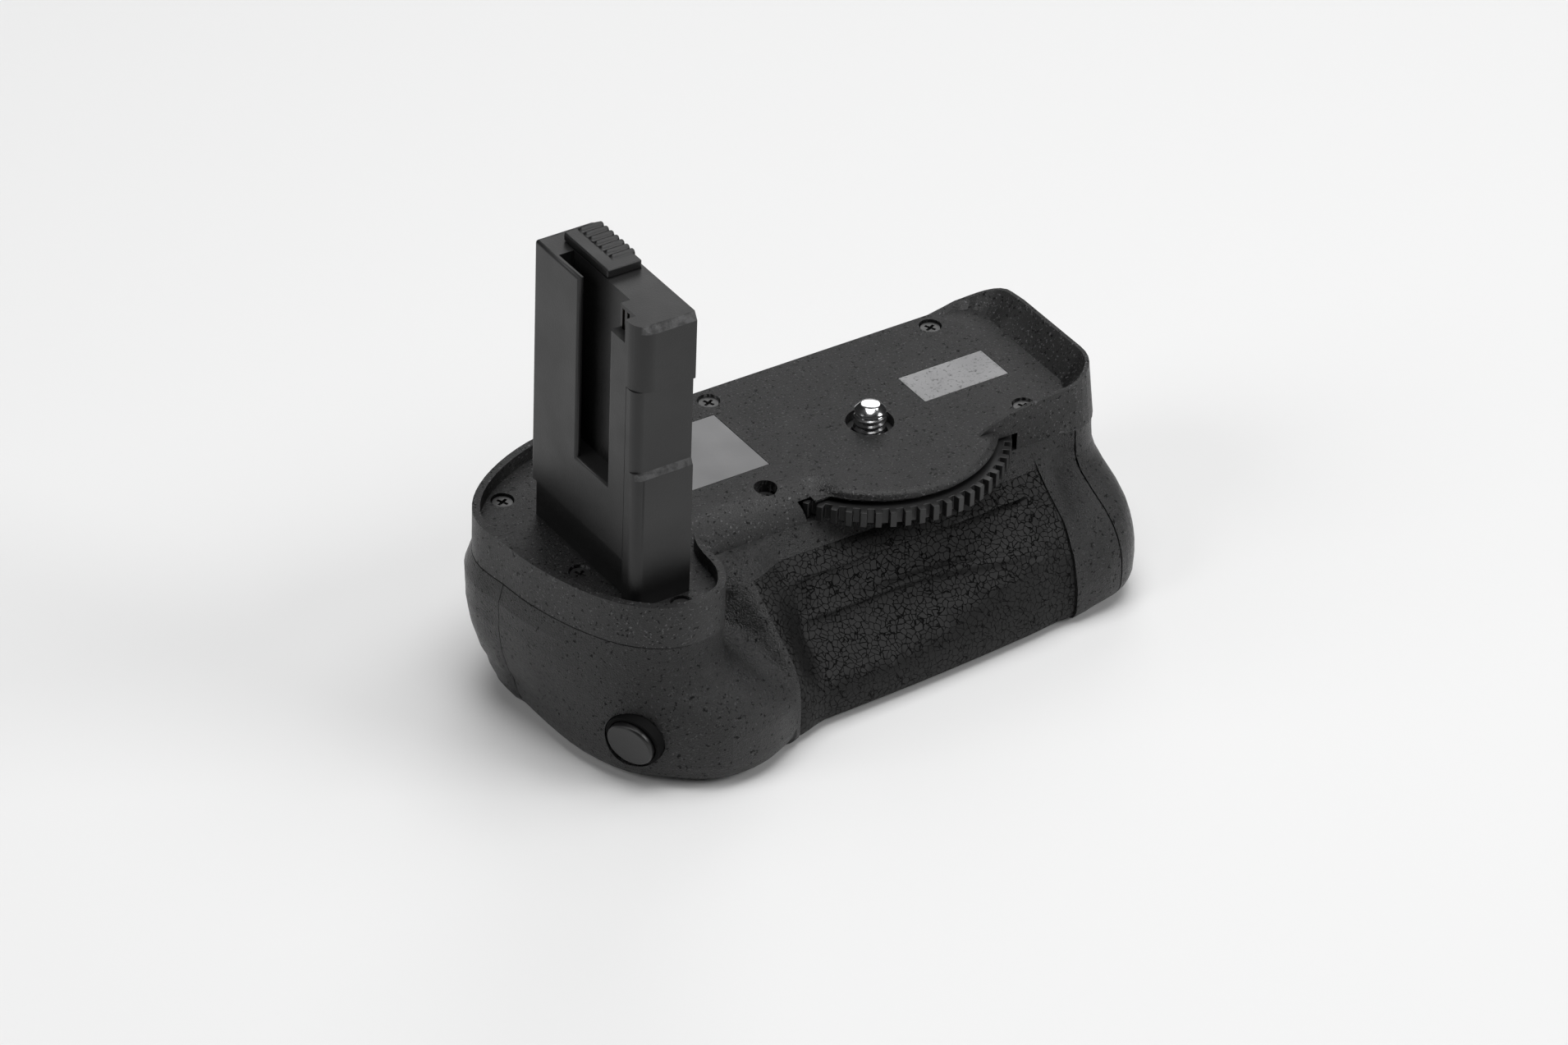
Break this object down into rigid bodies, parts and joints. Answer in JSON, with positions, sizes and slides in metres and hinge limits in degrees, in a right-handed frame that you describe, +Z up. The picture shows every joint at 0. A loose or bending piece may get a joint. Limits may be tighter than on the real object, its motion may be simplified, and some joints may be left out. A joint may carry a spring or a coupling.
{
  "type": "camera battery grip",
  "caption": "Vertical battery grip for a small reflex camera: battery stalk with catch, tripod screw with thumbwheel, rubber finger grip, shutter button and hinged battery door.",
  "frame": {"origin": "on the flat base, straight below the axis of the tripod screw", "axes": "+X along the body from the stalk end to the battery door, -Y towards the finger grip, +Z up out of the camera seat"},
  "size_m": [0.1316, 0.0707, 0.1002],
  "materials": {
    "cover_plastic": "textured matte black plastic",
    "shell_plastic": "textured matte black plastic",
    "grip_rubber": "leather-grained black rubber",
    "screw_steel": "plain steel",
    "wheel_plastic": "matte black plastic",
    "screw_chrome": "bright plated",
    "bush_brass": "turned",
    "inner_plastic": "smooth dark plastic",
    "cell_wrap": "satin dark wrap",
    "contact_brass": "plated spring metal",
    "board_green": "lacquered board",
    "trim_plastic": "fine matte black",
    "stalk_plastic": "smooth satin black plastic",
    "label_dark": "satin dark grey film",
    "label_silver": "satin silver film"
  },
  "bodies": {
    "housing": {"top_cover": "cover_plastic", "front_shell": "shell_plastic", "rear_shell": "shell_plastic", "rubber_grip": "grip_rubber", "plate_screws": "screw_steel", "screw_plate": "screw_steel", "wheel_washer": "screw_steel", "tripod_bush": "bush_brass", "bay_frame": "inner_plastic", "battery_cells": "cell_wrap", "bay_contacts": "contact_brass", "circuit_board": "board_green", "door_pin": "screw_steel", "stalk_body": "stalk_plastic", "stalk_cover": "stalk_plastic", "stalk_contacts": "contact_brass", "button_ring": "trim_plastic", "shutter_switch": "inner_plastic", "power_slider_board": "board_green", "remote_jack": "trim_plastic", "data_label": "label_dark", "rating_label": "label_silver"},
    "wheel": {"thumbwheel": "wheel_plastic", "tripod_screw": "screw_chrome"},
    "button": {"shutter_button": "trim_plastic"},
    "catch": {"stalk_catch": "stalk_plastic"},
    "door": {"battery_door": "shell_plastic"},
    "latch": {"door_latch": "trim_plastic"},
    "power": {"power_switch": "trim_plastic"}
  },
  "joints": [
    {"name": "thumbwheel_spin", "type": "hinge", "parent": "housing", "child": "wheel", "pos_m": [0, 0, 0.037], "axis": [0, 0, 1], "continuous": true},
    {"name": "shutter_press", "type": "slide", "parent": "housing", "child": "button", "axis": [0.8715, 0.4441, 0.2079], "range_m": [0, 0.0012], "stiffness_N_per_m": 300, "springref_m": -0.001},
    {"name": "catch_slide", "type": "slide", "parent": "housing", "child": "catch", "axis": [0, 1, 0], "range_m": [0, 0.0025]},
    {"name": "door_hinge", "type": "hinge", "parent": "housing", "child": "door", "pos_m": [0.0392, 0.0233, 0], "axis": [0, 0, 1], "range_deg": [0, 100]},
    {"name": "latch_slide", "type": "slide", "parent": "door", "child": "latch", "axis": [0, 1, 0], "range_m": [0, 0.003]},
    {"name": "power_slide", "type": "slide", "parent": "housing", "child": "power", "axis": [1, 0, 0], "range_m": [0, 0.003]}
  ]
}
